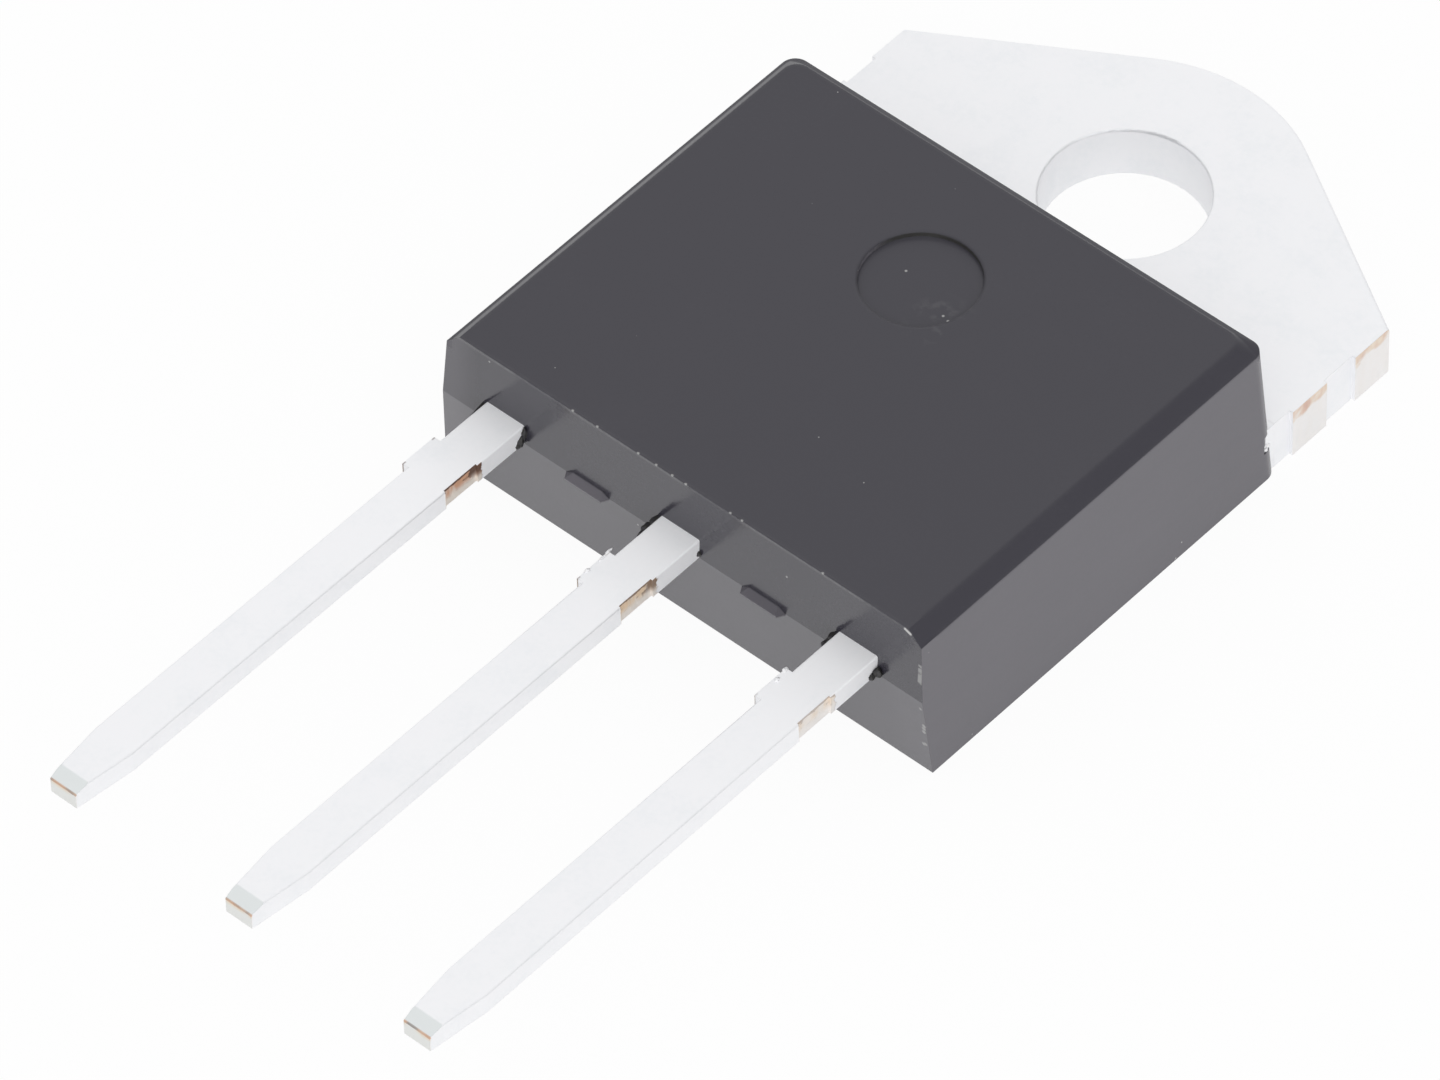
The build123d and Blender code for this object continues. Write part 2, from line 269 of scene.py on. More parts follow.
class Finish(Nodes):
    """A procedural material; positions in it are in millimetres in the part's own frame."""

    def __init__(self, name):
        self.material = bpy.data.materials.new(name)
        self.material.use_nodes = True
        super().__init__(self.material.node_tree)
        coordinates = self.add("ShaderNodeTexCoord")
        scaled = self.add(
            "ShaderNodeVectorMath", {"operation": "SCALE"},
            {0: coordinates.outputs["Object"], "Scale": 1 / MM},
        )
        self.place = scaled.outputs[0]
        self.x, self.y, self.z = self.parts(self.place)
        geometry = self.add("ShaderNodeNewGeometry")
        self.facing_x, self.facing_y, self.facing_z = self.parts(geometry.outputs["Normal"])

    def parts(self, vector):
        """The x, y and z of a vector socket."""
        node = self.add("ShaderNodeSeparateXYZ", None, {0: vector})
        return [Value(self, out) for out in node.outputs]

    def spread(self, per_mm, shift):
        """The position times so many cells per millimetre along x, y and z, shifted to a fresh place."""
        node = self.add(
            "ShaderNodeVectorMath", {"operation": "MULTIPLY_ADD"},
            {0: self.place, 1: per_mm, 2: (shift, shift, shift)},
        )
        return node.outputs[0]

    def noise(self, per_mm, shift, detail=2.0, roughness=0.5):
        """Smooth noise about 0.5, with so many waves per millimetre along x, y and z."""
        if not isinstance(per_mm, tuple):
            per_mm = (per_mm, per_mm, per_mm)
        node = self.add("ShaderNodeTexNoise", None, {
            "Vector": self.spread(per_mm, shift), "Scale": 1.0, "Detail": detail, "Roughness": roughness,
        })
        return Value(self, node.outputs[0])

    def specks(self, per_mm, size, share, shift):
        """Small round specks: size is their radius in cells, share the part of the cells that has one."""
        node = self.add(
            "ShaderNodeTexVoronoi", {"feature": "F1"},
            {"Vector": self.spread((per_mm, per_mm, per_mm), shift), "Scale": 1.0},
        )
        distance = Value(self, node.outputs["Distance"])
        pick = self.parts(node.outputs["Color"])[0]
        return distance.fall(size * 0.6, size) * (pick > 1 - share)

    def spots(self, places, radius):
        """Soft round spots of this radius at these places, in millimetres."""
        found = None
        for place in places:
            node = self.add("ShaderNodeVectorMath", {"operation": "DISTANCE"}, {0: self.place, 1: place})
            spot = Value(self, node.outputs["Value"]).fall(radius * 0.4, radius)
            found = found.or_more(spot) if found else spot
        return found

    def blend(self, factor, first, second):
        """A colour from first at 0 to second at 1."""
        if isinstance(factor, float):
            return tuple(a + (b - a) * factor for a, b in zip(first, second))
        node = self.add("ShaderNodeMix", {"data_type": "RGBA"}, {0: factor, 6: first, 7: second})
        return node.outputs[2]

    def between(self, factor, first, second):
        """A vector from first at 0 to second at 1."""
        node = self.add("ShaderNodeMix", {"data_type": "VECTOR"}, {0: factor, 4: first, 5: second})
        return node.outputs[1]

    def rounded(self, radius):
        """The surface normal with sharp edges rounded to this radius, in metres."""
        return self.add("ShaderNodeBevel", {"samples": 4}, {"Radius": radius}).outputs[0]

    def surface(self, colour, roughness, height, normal, metallic=0.0, polish=0.0):
        """Ends the material: height is in millimetres, normal has rounded edges, polish is a gloss coat."""
        bump = self.add(
            "ShaderNodeBump", None,
            {"Strength": 1.0, "Distance": MM, "Height": height, "Normal": normal},
        )
        shader = self.add("ShaderNodeBsdfPrincipled", None, {
            "Base Color": colour, "Roughness": roughness, "Metallic": metallic, "IOR": 1.5,
            "Coat Weight": polish, "Coat Roughness": 0.12, "Normal": bump.outputs[0],
        })
        self.add("ShaderNodeOutputMaterial", None, {"Surface": shader.outputs[0]})
        return self.material


class EpoxyFinish(Finish):
    """Dark satin moulding compound: filler grain, walls painted paler for the light they catch and rubbed,
    dark flash, a pin mark with painted shade in its rim, dust, wear and painted glints.
    """

    def __init__(self, sizes, colours):
        super().__init__("epoxy moulding")
        self.sizes = sizes
        self.colours = colours
        self.front = -sizes.body_to_hole / MM
        self.front_top = self.front + sizes.front_lean / MM
        self.back = body_high.y / MM
        self.end = body_high.x / MM
        self.top = body_high.z / MM
        self.parting = lead_low.z / MM
        self.pin_y = -sizes.pin_mark_to_hole / MM
        self.pin_floor = self.top - sizes.pin_mark_depth / MM
        self.mottle = self.noise(0.35, shift=3.0, detail=3.0)
        self.grain = self.noise(9.0, shift=11.0, detail=3.0, roughness=0.6)
        self.flow = self.noise((0.4, 0.4, 2.2), shift=31.0)
        self.lead_side = self.facing_y.fall(-0.9, -0.6)
        self.flank = abs(self.facing_x).rise(0.75, 0.95)
        self.rear = self.facing_y.rise(0.75, 0.95)
        self.outside = self.y.fall(self.front - 0.02, self.front - 0.005)
        ledge_end = sizes.ledge_half / MM
        from_middle = abs(abs(self.x) - sizes.lead_pitch / MM / 2)
        self.ledge = self.outside * from_middle.fall(ledge_end, ledge_end + 0.1)

    def wall_paleness_painted_and_rubbed(self):
        """How pale it is: least on top, more on the walls, most at the left end; painted light, the walls
        paler for the light they catch and the ledges lifted against their shade, with mould rubbing too.
        """
        lower_half = self.z.fall(self.parting - 0.01, self.parting + 0.01)
        left_end = self.x.fall(0.35 - self.end, 1.35 - self.end)
        right_end = self.x.rise(self.end - 1.45, self.end - 0.45)
        # Painted light: the walls painted paler than the top, the lower half and the ends of the lead side
        # palest, for the light they catch; mould rubbing pales them too.
        walls = self.lead_side * (0.02 + 0.36 * lower_half)
        walls = walls.or_more(0.82 * self.flank).or_more(0.75 * self.rear)
        walls = walls + 0.42 * self.lead_side * left_end + 0.10 * self.lead_side * lower_half * right_end
        # Painted light: the flash ledges painted paler against the shade they lie in, blotchy along the
        # flow.
        ledges = self.ledge * (0.42 + 0.6 * self.flow + 0.20 * self.x.fall(-1.0, 1.0))
        uneven = 0.10 * (self.mottle - 0.5) + 0.08 * (self.grain - 0.5)
        return walls.or_more(ledges) * (0.97 + 0.08 * (self.flow - 0.5)) + uneven

    def pin_painted_shade(self):
        """Painted shade in the rear half of the ejector-pin mark's rim, where its steep wall lies in
        shadow.
        """
        behind = self.y - self.pin_y
        radius = self.sizes.pin_mark_radius / MM
        rim = (self.x * self.x + behind * behind).within((radius - 0.05) ** 2, (radius + 0.02) ** 2, 0.03)
        in_wall = self.facing_z.fall(0.6, 0.95) * self.z.rise(self.top - 0.20, self.top - 0.15)
        return rim * in_wall * behind.rise(-0.2, 0.7)

    def pin_scuff(self):
        """A scuff at the front of the ejector-pin mark."""
        place = (1.2, self.pin_y - 0.7, self.pin_floor)
        return self.spots([place], radius=1.1) * self.noise(3.0, shift=67.0, detail=3.0).rise(0.5, 0.7)

    def painted_glints(self):
        """Painted glints on chipped filler grains: along the lead side's top edge, on its face and in the
        pin mark.
        """
        on_edge = (-3.41, -2.64, -1.36, -0.80, -0.30, 0.12, 1.50, 1.86, 4.35)
        on_face = (
            (-6.03, self.front_top, self.top - 0.17),
            (3.28, self.front + 0.08, self.top - 0.87),
            (-1.34, self.front, self.parting - 0.28),
        )
        in_mark = ((1.10, -0.46), (1.29, -0.51), (-0.51, 0.06))
        found = self.spots([(x, self.front_top, self.top) for x in on_edge], radius=0.05)
        found = found.or_more(self.spots(on_face, radius=0.04))
        places = [(x, self.pin_y + y, self.pin_floor) for x, y in in_mark]
        return found.or_more(self.spots(places, radius=0.045))

    def corner_wear(self):
        """Wear down the right end of the lead side: a rubbed streak, and patches below it."""
        across = self.x.within(self.end - 0.32, self.end - 0.23, 0.03)
        streak = self.lead_side * across * self.z.within(self.parting + 0.59, self.parting + 1.17, 0.05)
        streak = streak * self.noise((2.0, 2.0, 9.0), shift=57.0).rise(0.34, 0.52)
        # from the end in, and up from the back face
        patches = ((0.24, 2.19), (0.17, 1.60), (0.18, 1.50), (0.185, 1.38), (0.22, 0.91), (0.16, 0.94))
        places = [(self.end - x, self.front + 0.06, z) for x, z in patches]
        return streak.or_more(self.spots(places, radius=0.08))

    def corner_chip_glint(self):
        """A chip just under the right end of the lead side's top edge, painted bright as a glint: a row of
        spots that slopes down.
        """
        start = self.end - 0.77
        slope = 0.35
        places = [(start + x, self.front_top, self.top - 0.07 - slope * x) for x in (0.0, 0.05, 0.10, 0.15)]
        return self.spots(places, radius=0.06)

    def dust(self):
        """Two sizes of dust."""
        large = self.specks(1.3, size=0.040, share=0.08, shift=5.0)
        small = self.specks(3.1, size=0.06, share=0.03, shift=41.0)
        return large.or_more(small)

    def height(self):
        """Grain and waviness, deeper where the lead side's top edge is chipped, in millimetres."""
        fine = self.noise(38.0, shift=23.0, detail=1.0)
        edge = self.y.fall(self.front_top, self.front_top + 0.10) * self.z.rise(self.top - 0.10, self.top)
        chips = 0.02 * edge * self.noise(6.0, shift=63.0)
        return 0.0012 * self.grain + 0.0005 * fine + 0.003 * self.mottle + chips

    def normal(self):
        """Fine rounding, and softer rounding of the left, right and rear top edges."""
        soft = self.y.rise(self.front + 0.5, self.front + 0.7) * self.z.rise(self.top - 0.7, self.top - 0.6)
        fine_edges = self.rounded(self.sizes.edge_radius)
        return self.between(soft, fine_edges, self.rounded(self.sizes.soft_radius))

    def build(self):
        """The finished material."""
        painted_shade = self.pin_painted_shade()
        # Pale marks: dust and corner wear, with painted glints on the top edge, its right corner and in the
        # pin mark.
        pale = (self.dust() * 0.75).or_more(self.painted_glints() * 0.6)
        pale = pale.or_more(self.corner_chip_glint()).or_more(self.corner_wear() * 0.40)
        # Painted light: the walls and ledges painted paler than the top, besides mould rubbing.
        colour = self.blend(self.wall_paleness_painted_and_rubbed(), self.colours.epoxy, self.colours.epoxy_painted_paler)
        colour = self.blend(self.outside * (1 - self.ledge), colour, self.colours.flash)
        colour = self.blend(0.05 * self.pin_scuff(), colour, self.colours.dust)
        # Painted shade: the rear of the pin mark's rim darkened to the flash colour.
        colour = self.blend(painted_shade, colour, self.colours.flash)
        colour = self.blend(pale, colour, self.colours.dust)
        glossy_wall = self.lead_side.or_more(self.flank).or_more(self.rear)
        far_left = self.x.fall(0.40 - self.end, 0.50 - self.end)
        far_back = self.y.rise(self.back - 0.57, self.back - 0.47)
        far_edges = far_left.or_more(far_back) * self.z.rise(self.top - 0.6, self.top - 0.5)
        dull = far_edges.or_more(painted_shade).or_more(self.ledge)
        roughness = 0.30 + 0.08 * self.mottle + 0.08 * self.grain - 0.16 * glossy_wall + 0.30 * dull
        return self.surface(colour, roughness, self.height(), self.normal(), polish=0.5 * self.lead_side)


class TinFinish(Finish):
    """Matte tin over copper; rolled is the number of fine lines per millimetre along x, y and z."""

    def __init__(self, name, colours, rolled):
        super().__init__(name)
        self.colours = colours
        cloud = self.noise(0.8, shift=7.0, detail=3.0)
        crystals = self.noise(7.0, shift=17.0, detail=3.0, roughness=0.65)
        lines = self.noise(rolled, shift=29.0)
        dull = (0.8 * cloud + 0.5 * crystals).rise(0.55, 0.95)
        self.plating = self.blend(dull, colours.tin, colours.tin_dull)
        self.roughness = 0.40 + 0.10 * crystals + 0.05 * lines
        self.height = 0.0015 * crystals + 0.0010 * lines


class LeadFinish(TinFinish):
    """Tinned lead; the sheared faces of its flanks and its tip show copper under a dark burr line."""

    def __init__(self, node, side, sizes, colours):
        super().__init__(f"tinned {node.replace('_', ' ')}", colours, (26.0, 0.8, 26.0))
        self.sizes = sizes
        self.shear = SHEARS[node]
        self.root = -sizes.body_to_hole / MM
        self.tip = lead_low.y / MM
        self.top = lead_high.z / MM
        self.shear_near = self.root - sizes.shear_start / MM
        self.shear_far = self.shear_near - sizes.shear_length / MM
        centre = side * sizes.lead_pitch / MM
        self.stub_face = centre - sizes.stub_reach / MM
        cut_face = centre + sizes.cut_reach / MM
        self.streaks = self.noise((4.0, 5.0, 1.2), shift=71.0 + side, detail=3.0)
        self.ragged = self.noise((5.0, 5.0, 8.0), shift=79.0 + side)
        self.ragged_end = self.noise((4.0, 4.0, 10.0), shift=83.0 + side)
        self.patches = self.noise(2.2, shift=87.0 + side)
        cut_length = self.y.within(self.shear_far, self.shear_near + 0.25 * self.ragged, 0.03)
        right_face = self.x.rise(cut_face - 0.03, cut_face - 0.01) * cut_length
        left_face = self.x.fall(self.stub_face + 0.01, self.stub_face + 0.03)
        self.sheared = right_face.or_more(left_face) * self.facing_z.fall(0.5, 0.8)
        self.warm = self.z.rise(self.top - 0.46, self.top - 0.24 + 0.12 * self.ragged)

    def bared(self):
        """Colour of the sheared faces: copper above, smeared tin below."""
        copper = self.blend(self.shear["golden"], self.colours.copper, self.colours.copper_gold)
        shown = self.warm * (0.25 + 0.65 * self.streaks.rise(0.36, 0.60))
        return self.blend(shown, self.colours.copper_pale, copper)

    def burrs(self):
        """Dark burr along the top of the sheared faces, wider and browner towards the body."""
        towards_body = self.y.rise(self.shear_near - 0.35, self.shear_near)
        browned = self.ragged + 0.5 * self.streaks + self.shear["browned"] * towards_body
        edge = self.top - 0.12 * self.ragged
        on_face = self.z.rise(edge - 0.02, edge).or_more(browned.rise(0.85, 1.05) * self.warm)
        stub_ends = 1 - self.y.within(self.shear_far + 0.12, self.shear_near - 0.12, 0.05)
        on_top = self.x.fall(self.stub_face + 0.02, self.stub_face + 0.06) * stub_ends * 0.6
        return (self.sheared * on_face).or_more(on_top) * self.shear["burred"]

    def with_tip(self, colour, tip_face):
        """Adds the tip: a smeared bevel, and a pale copper end with gilded patches and a thin dark line."""
        colours = self.colours
        bevel = self.y.fall(self.tip + 0.38, self.tip + 0.44) * self.facing_y.fall(-0.20, -0.10)
        gilded = tip_face * self.z.rise(self.top - 0.26 - 0.10 * self.ragged_end, self.top - 0.13)
        gilded = gilded * self.patches.rise(0.35, 0.60)
        line = self.y.fall(self.tip + 0.02, self.tip + 0.05)
        line = line * self.z.within(self.top - 0.14 - 0.04 * self.ragged_end, self.top - 0.11, 0.012)
        line_colour = self.blend(self.patches.rise(0.40, 0.60), colours.burr, colours.copper)
        colour = self.blend(bevel * 0.9, colour, colours.tin_smeared)
        colour = self.blend(tip_face * 0.25, colour, colours.copper_pale)
        colour = self.blend(gilded * 0.55, colour, colours.copper_gold)
        return self.blend(line * (0.30 + 0.5 * self.ragged_end), colour, line_colour)

    def build(self):
        """The finished material; it is less metallic near the body."""
        tip_face = self.y.fall(self.tip + 0.01, self.tip + 0.03)
        colour = self.blend(self.sheared * self.shear["bared"], self.plating, self.bared())
        colour = self.with_tip(colour, tip_face)
        colour = self.blend(self.burrs(), colour, self.colours.burr)
        bright = self.y.fall(self.root - 3.0, self.root - 0.8)
        roughness = self.roughness + 0.10 * (1 - bright) + 0.12 * self.sheared + 0.10 * tip_face
        height = self.height + 0.012 * self.sheared * self.streaks + 0.015 * self.sheared * self.ragged
        normal = self.rounded(self.sizes.edge_radius)
        return self.surface(colour, roughness, height, normal, metallic=0.60 * bright)


def tab_finish(sizes, colours):
    """Tinned tab; copper shows on the sheared tie-bar stubs, and it is dull beside the moulding."""
    tin = TinFinish("tinned tab", colours, (5.0, 5.0, 20.0))
    stub_face = sizes.tie_width / MM / 2
    top = tab_high.z / MM
    shoulder = body_high.y / MM
    sheared = abs(tin.facing_x).rise(0.7, 0.9) * abs(tin.x).rise(stub_face - 0.04, stub_face - 0.02)
    streaks = tin.noise((3.0, 3.0, 1.2), shift=91.0, detail=3.0)
    ragged = tin.noise((1.6, 1.6, 3.0), shift=97.0, detail=3.0)
    upper = tin.z.rise(top - 0.85 + 0.95 * ragged, top - 0.60 + 0.95 * ragged)
    copper = tin.blend(streaks.rise(0.35, 0.75), colours.copper_gold, colours.copper)
    colour = tin.blend(sheared * (0.15 + 0.35 * streaks), tin.plating, colours.copper_pale)
    colour = tin.blend(sheared * upper * (0.20 + 0.60 * streaks), colour, copper)
    crevice = tin.y.fall(shoulder + 0.01, shoulder + 0.03) * tin.facing_y.fall(-0.8, -0.5)
    roughness = tin.roughness + 0.08 * sheared + 0.3 * crevice
    normal = tin.rounded(sizes.edge_radius)
    return tin.surface(colour, roughness, tin.height, normal, metallic=0.65 * (1 - crevice))


def flash_finish(sizes, colours):
    """Dark thin resin flash, rough where it tore."""
    flash = Finish("torn flash")
    grain = flash.noise(14.0, shift=19.0, detail=3.0)
    colour = flash.blend(grain.rise(0.45, 0.75), colours.flash, colours.epoxy)
    return flash.surface(colour, 0.35 + 0.2 * grain, 0.004 * grain, flash.rounded(sizes.torn_radius))


def burr_finish(sizes, colours):
    """Tinned slivers torn up by the shear."""
    burr = Finish("torn tin")
    grain = burr.noise(12.0, shift=37.0, detail=3.0)
    colour = burr.blend(grain.rise(0.50, 0.75) * 0.5, colours.tin, colours.copper_pale)
    normal = burr.rounded(sizes.torn_radius)
    return burr.surface(colour, 0.40 + 0.2 * grain, 0.004 * grain, normal, metallic=0.45)


def inner_finish(name, colour, sizes, roughness, metallic=0.0):
    """Finish of a sealed piece, with a light mottle."""
    inner = Finish(name)
    mottle = inner.noise(2.0, shift=13.0, detail=3.0)
    darker = tuple(0.8 * c for c in colour[:3]) + (1.0,)
    shade = inner.blend(mottle, colour, darker)
    normal = inner.rounded(sizes.edge_radius)
    return inner.surface(shade, roughness + 0.15 * mottle, 0.001 * mottle, normal, metallic=metallic)


# ---- pieces ----

def paint(node, material):
    """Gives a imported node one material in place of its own."""
    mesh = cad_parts[node].data
    for index in range(len(mesh.materials)):
        mesh.materials[index] = material


def add_piece(name, shape, material):
    """A piece of its own from this bmesh, in the part's frame."""
    mesh = bpy.data.meshes.new(name)
    shape.to_mesh(mesh)
    shape.free()
    mesh.materials.append(material)
    piece = bpy.data.objects.new(name, mesh)
    bpy.context.scene.collection.objects.link(piece)
    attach(piece, "root")


def crumbs(name, lumps, material):
    """A torn bit of flash or tin: uneven lumps, each with a place and half sizes in millimetres."""
    shape = bmesh.new()
    for place, half_sizes in lumps:
        start = len(shape.verts)
        bmesh.ops.create_icosphere(shape, subdivisions=3, radius=1.0)
        shape.verts.ensure_lookup_table()
        for vert in shape.verts[start:]:
            coarse = noise.noise(vert.co * 1.6 + Vector(place) * 9.0)
            fine = noise.noise(vert.co * 4.0 + Vector(place) * 5.0)
            swell = 1.0 + 0.55 * coarse + 0.12 * fine
            grown = [p + s * c * swell for p, s, c in zip(place, half_sizes, vert.co)]
            vert.co = Vector(grown) * MM
    for face in shape.faces:
        face.smooth = True
    add_piece(name, shape, material)


# ---- operators ----

class TRIAC_OT_moulding(bpy.types.Operator):
    """Finish the moulded body"""

    bl_idname = "triac.moulding"
    bl_label = "Moulded body"

    def execute(self, context):
        paint("moulded_body", EpoxyFinish(context.scene.triac_sizes, context.scene.triac_colours).build())
        return {"FINISHED"}


class TRIAC_OT_leads(bpy.types.Operator):
    """Finish the three leads"""

    bl_idname = "triac.leads"
    bl_label = "Leads"

    def execute(self, context):
        sizes, colours = context.scene.triac_sizes, context.scene.triac_colours
        for node, side in LEADS.items():
            paint(node, LeadFinish(node, side, sizes, colours).build())
        return {"FINISHED"}


class TRIAC_OT_tab(bpy.types.Operator):
    """Finish the heat-sink tab"""

    bl_idname = "triac.tab"
    bl_label = "Heat-sink tab"

    def execute(self, context):
        paint("heatsink_tab", tab_finish(context.scene.triac_sizes, context.scene.triac_colours))
        return {"FINISHED"}


class TRIAC_OT_shoulders(bpy.types.Operator):
    """Run the shoulders of the tab on into the moulding's rounded rear corners"""

    bl_idname = "triac.shoulders"
    bl_label = "Shoulder roots"

    def execute(self, context):
        sizes = context.scene.triac_sizes
        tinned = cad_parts["heatsink_tab"].data.materials[0]
        outer = sizes.shoulder_width / 2
        inner = outer - sizes.shoulder_depth
        rear = body_high.y
        for name, side in {"left_shoulder_root": -1, "right_shoulder_root": 1}.items():
            shape = bmesh.new()
            bmesh.ops.create_cube(shape, size=1.0)
            for vert in shape.verts:
                vert.co.x = side * (outer if side * vert.co.x > 0 else inner)
                vert.co.y = rear if vert.co.y > 0 else rear - sizes.shoulder_root
                vert.co.z = tab_high.z if vert.co.z > 0 else sizes.shoulder_lift
            add_piece(name, shape, tinned)
        return {"FINISHED"}


class TRIAC_OT_inside(bpy.types.Operator):
    """Finish the sealed pieces inside the moulding"""

    bl_idname = "triac.inside"
    bl_label = "Sealed pieces"

    def execute(self, context):
        sizes, colours = context.scene.triac_sizes, context.scene.triac_colours
        solder = inner_finish("solder", colours.solder, sizes, roughness=0.45, metallic=1.0)
        clip = inner_finish("clip copper", colours.clip_copper, sizes, roughness=0.35, metallic=1.0)
        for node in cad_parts:
            if node.endswith("solder"):
                paint(node, solder)
            elif node.endswith("clip"):
                paint(node, clip)
        paint("ceramic_insulator", inner_finish("alumina", colours.alumina, sizes, roughness=0.6))
        paint("triac_chip", inner_finish("silicon", colours.silicon, sizes, roughness=0.2))
        return {"FINISHED"}


class TRIAC_OT_flash(bpy.types.Operator):
    """Add the torn flash beside the roots of the leads"""

    bl_idname = "triac.flash"
    bl_label = "Torn flash"

    def execute(self, context):
        sizes = context.scene.triac_sizes
        dark = flash_finish(sizes, context.scene.triac_colours)
        root = -sizes.body_to_hole / MM
        pitch = sizes.lead_pitch / MM
        flank = sizes.lead_width / MM / 2
        low = lead_low.z / MM
        top = lead_high.z / MM
        crumbs("flash_left_lead", [
            ((-pitch + flank + 0.02, root - 0.02, top - 0.21), (0.08, 0.08, 0.19)),
            ((-pitch + flank + 0.02, root - 0.12, low + 0.19), (0.06, 0.12, 0.15)),
            ((-pitch + flank + 0.01, root - 0.22, low + 0.09), (0.04, 0.08, 0.09)),
        ], dark)
        crumbs("flash_centre_lead", [
            ((-flank - 0.04, root - 0.14, top - 0.06), (0.09, 0.20, 0.05)),
            ((-flank - 0.06, root - 0.40, top - 0.07), (0.09, 0.18, 0.05)),
            ((-flank - 0.04, root - 0.62, top - 0.12), (0.06, 0.13, 0.05)),
            ((flank + 0.01, root - 0.02, low + 0.17), (0.06, 0.06, 0.08)),
        ], dark)
        crumbs("flash_gate_lead", [
            ((pitch - flank - 0.05, root - 0.14, top - 0.06), (0.08, 0.20, 0.05)),
            ((pitch - flank - 0.05, root - 0.38, top - 0.08), (0.06, 0.14, 0.05)),
            ((pitch + flank + 0.09, root - 0.08, low + 0.17), (0.12, 0.12, 0.13)),
            ((pitch + flank + 0.02, root - 0.20, low + 0.10), (0.08, 0.10, 0.09)),
        ], dark)
        return {"FINISHED"}


class TRIAC_OT_burrs(bpy.types.Operator):
    """Add the torn tin on the sheared stubs and beside the right shoulder"""

    bl_idname = "triac.burrs"
    bl_label = "Torn tin"

    def execute(self, context):
        sizes = context.scene.triac_sizes
        pale = burr_finish(sizes, context.scene.triac_colours)
        pitch = sizes.lead_pitch / MM
        stub = sizes.stub_reach / MM
        top = lead_high.z / MM
        near = -(sizes.body_to_hole + sizes.shear_start) / MM
        crumbs("burr_centre_lead", [
            ((-stub + 0.02, near - 0.22, top), (0.03, 0.16, 0.03)),
            ((-stub, near - 0.02, top + 0.01), (0.03, 0.12, 0.03)),
            ((-stub + 0.02, near - 0.76, top), (0.05, 0.09, 0.03)),
        ], pale)
        crumbs("burr_gate_lead", [
            ((pitch - stub + 0.02, near - 0.06, top), (0.06, 0.08, 0.03)),
            ((pitch - stub + 0.08, near - 0.40, top), (0.06, 0.08, 0.03)),
        ], pale)
        shoulder = sizes.shoulder_width / MM / 2
        rear = body_high.y / MM
        floor = sizes.notch_floor / MM
        crumbs("burr_right_shoulder", [
            ((shoulder - 0.02, rear - 0.26, floor + 0.06), (0.06, 0.09, 0.10)),
            ((shoulder + 0.02, rear - 0.34, floor + 0.03), (0.05, 0.07, 0.06)),
        ], pale)
        return {"FINISHED"}


# ---- studio ----

def add_floor(studio):
    """Pale floor just under the part, white to the camera and in reflections; it keeps the shadow."""
    half = studio.floor_size / 2
    level = -studio.floor_gap
    mesh = bpy.data.meshes.new("floor")
    corners = [(-half, -half, level), (half, -half, level), (half, half, level), (-half, half, level)]
    mesh.from_pydata(corners, [], [(0, 1, 2, 3)])
    floor = bpy.data.objects.new("floor", mesh)
    bpy.context.scene.collection.objects.link(floor)
    finish = Finish("pale floor")
    pale = finish.add("ShaderNodeBsdfDiffuse", None, {"Color": studio.floor_colour})
    white = finish.add("ShaderNodeEmission", None, {"Color": WHITE, "Strength": 1.0})
    ray = finish.add("ShaderNodeLightPath")
    seen = Value(finish, ray.outputs["Is Camera Ray"])
    for kind in ("Is Glossy Ray", "Is Transmission Ray"):
        seen = seen.or_more(Value(finish, ray.outputs[kind]))
    lifted = finish.add("ShaderNodeMixShader", None, {
        0: studio.floor_white * seen, 1: pale.outputs[0], 2: white.outputs[0],
    })
    finish.add("ShaderNodeOutputMaterial", None, {"Surface": lifted.outputs[0]})
    mesh.materials.append(finish.material)


def add_sky(studio):
    """An even grey room; the camera sees it white."""
    world = bpy.data.worlds.new("studio")
    bpy.context.scene.world = world
    world.use_nodes = True
    sky = Nodes(world.node_tree)
    room = sky.add("ShaderNodeBackground", None, {"Color": WHITE, "Strength": studio.sky_level})
    white = sky.add("ShaderNodeBackground", None, {"Color": WHITE, "Strength": 1.0})
    ray = sky.add("ShaderNodeLightPath")
    seen = sky.add("ShaderNodeMixShader", None, {
        0: ray.outputs["Is Camera Ray"], 1: room.outputs[0], 2: white.outputs[0],
    })
    sky.add("ShaderNodeOutputWorld", None, {"Surface": seen.outputs[0]})


def add_lamp(name, direction, distance, size, radiance):
    """A square softbox that looks at the part."""
    data = bpy.data.lights.new(name, "AREA")
    data.shape = "SQUARE"
    data.size = size
    data.energy = radiance * math.pi * size * size
    lamp = bpy.data.objects.new(name, data)
    towards = Vector(direction).normalized()
    middle = (cad_box[0] + cad_box[1]) / 2
    lamp.location = middle + towards * distance
    lamp.rotation_mode = "QUATERNION"
    lamp.rotation_quaternion = towards.to_track_quat("Z", "Y")
    lamp.visible_camera = False
    bpy.context.scene.collection.objects.link(lamp)


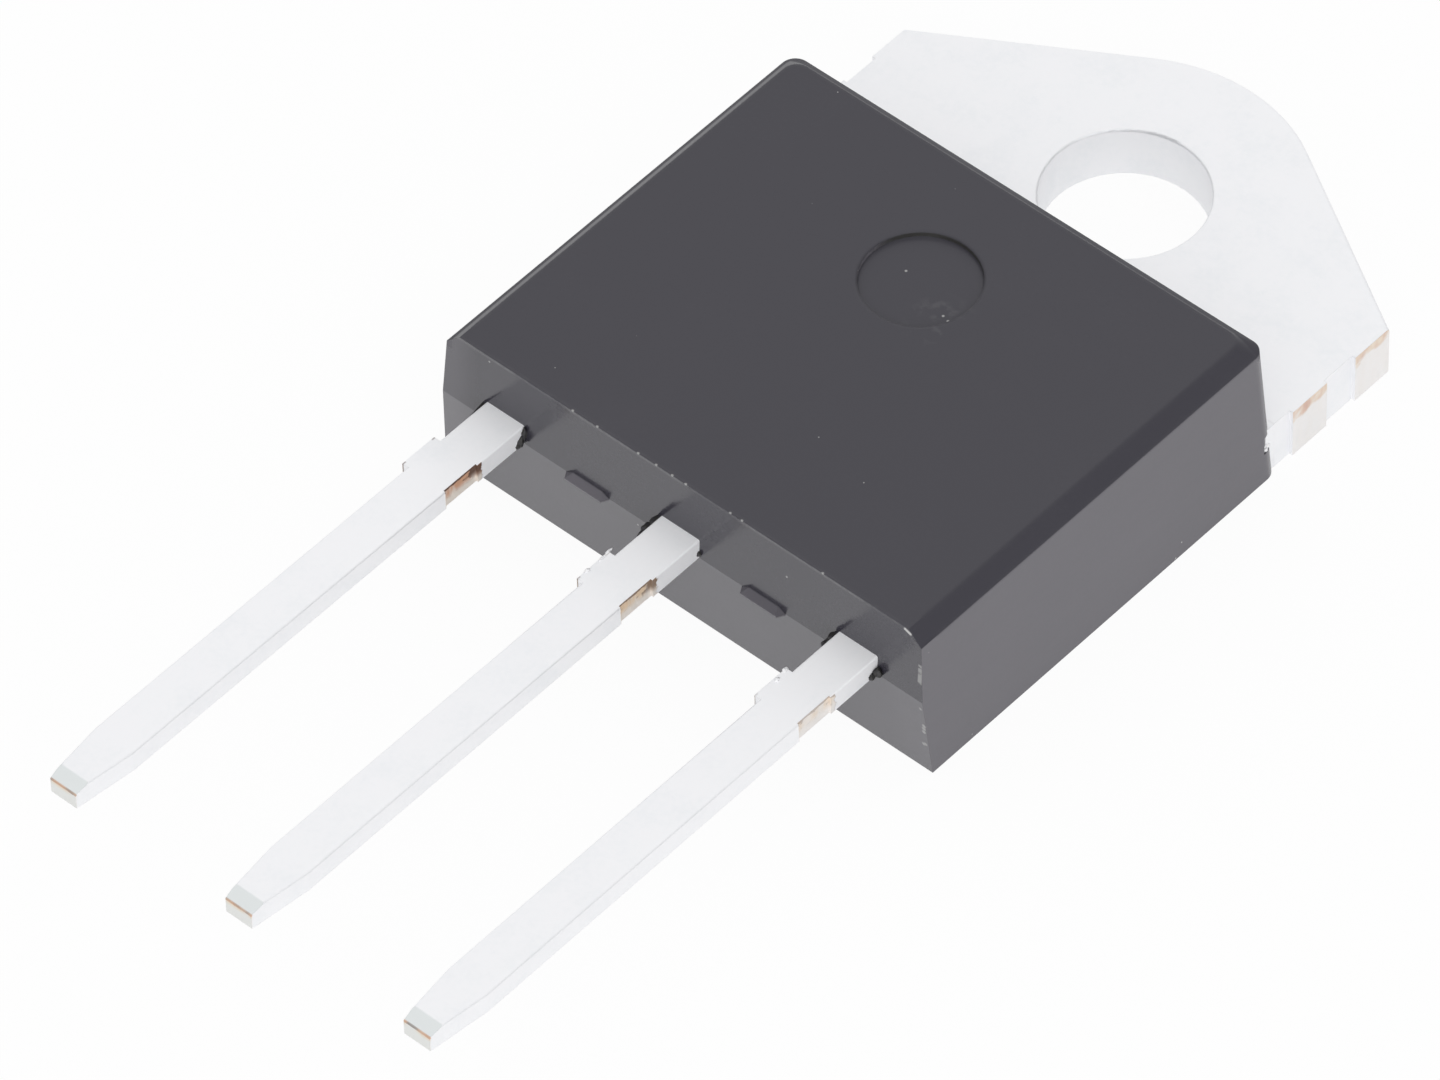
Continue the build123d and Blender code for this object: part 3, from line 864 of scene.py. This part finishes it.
def add_camera(studio):
    """The camera, looking down on the lead side from the right."""
    data = bpy.data.cameras.new("camera")
    data.lens = studio.lens
    data.sensor_width = studio.sensor
    camera = bpy.data.objects.new("camera", data)
    bpy.context.scene.collection.objects.link(camera)
    azimuth, elevation, roll = studio.azimuth, studio.elevation, studio.roll
    level = math.cos(elevation)
    back = Vector((math.sin(azimuth) * level, -math.cos(azimuth) * level, math.sin(elevation)))
    right = Vector((math.cos(azimuth), math.sin(azimuth), 0.0))
    up = back.cross(right)
    rolled_right = right * math.cos(roll) + up * math.sin(roll)
    rolled_up = up * math.cos(roll) - right * math.sin(roll)
    turn = Matrix((rolled_right, rolled_up, back)).transposed()
    place = Vector(studio.target) + back * studio.distance
    camera.matrix_world = Matrix.LocRotScale(place, turn.to_quaternion(), None)
    bpy.context.scene.camera = camera


class TRIAC_OT_stage(bpy.types.Operator):
    """Set up the floor, the lamps, the room and the camera"""

    bl_idname = "triac.stage"
    bl_label = "Studio"

    def execute(self, context):
        studio = context.scene.triac_studio
        add_floor(studio)
        add_sky(studio)
        for name, lamp in LAMPS.items():
            add_lamp(name, **lamp)
        add_camera(studio)
        context.scene.view_settings.view_transform = "Standard"
        return {"FINISHED"}


OPERATORS = (
    TRIAC_OT_moulding, TRIAC_OT_leads, TRIAC_OT_tab, TRIAC_OT_shoulders, TRIAC_OT_inside,
    TRIAC_OT_flash, TRIAC_OT_burrs, TRIAC_OT_stage,
)


class TRIAC_PT_panel(bpy.types.Panel):
    """Lists the steps that build the triac"""

    bl_label = "Triac"
    bl_idname = "TRIAC_PT_panel"
    bl_space_type = "VIEW_3D"
    bl_region_type = "UI"
    bl_category = "Triac"

    def draw(self, context):
        for operator in OPERATORS:
            self.layout.operator(operator.bl_idname)


CLASSES = (TriacSizes, TriacColours, StudioSettings) + OPERATORS + (TRIAC_PT_panel,)


def register():
    """Adds the classes, and the sizes, colours and studio settings to the scene."""
    for cls in CLASSES:
        bpy.utils.register_class(cls)
    bpy.types.Scene.triac_sizes = PointerProperty(type=TriacSizes)
    bpy.types.Scene.triac_colours = PointerProperty(type=TriacColours)
    bpy.types.Scene.triac_studio = PointerProperty(type=StudioSettings)


def unregister():
    """Takes them away again."""
    del bpy.types.Scene.triac_studio
    del bpy.types.Scene.triac_colours
    del bpy.types.Scene.triac_sizes
    for cls in reversed(CLASSES):
        bpy.utils.unregister_class(cls)


def main():
    """Builds everything in order."""
    register()
    bpy.ops.triac.moulding()
    bpy.ops.triac.leads()
    bpy.ops.triac.tab()
    bpy.ops.triac.shoulders()
    bpy.ops.triac.inside()
    bpy.ops.triac.flash()
    bpy.ops.triac.burrs()
    bpy.ops.triac.stage()


if __name__ == "__main__":
    main()
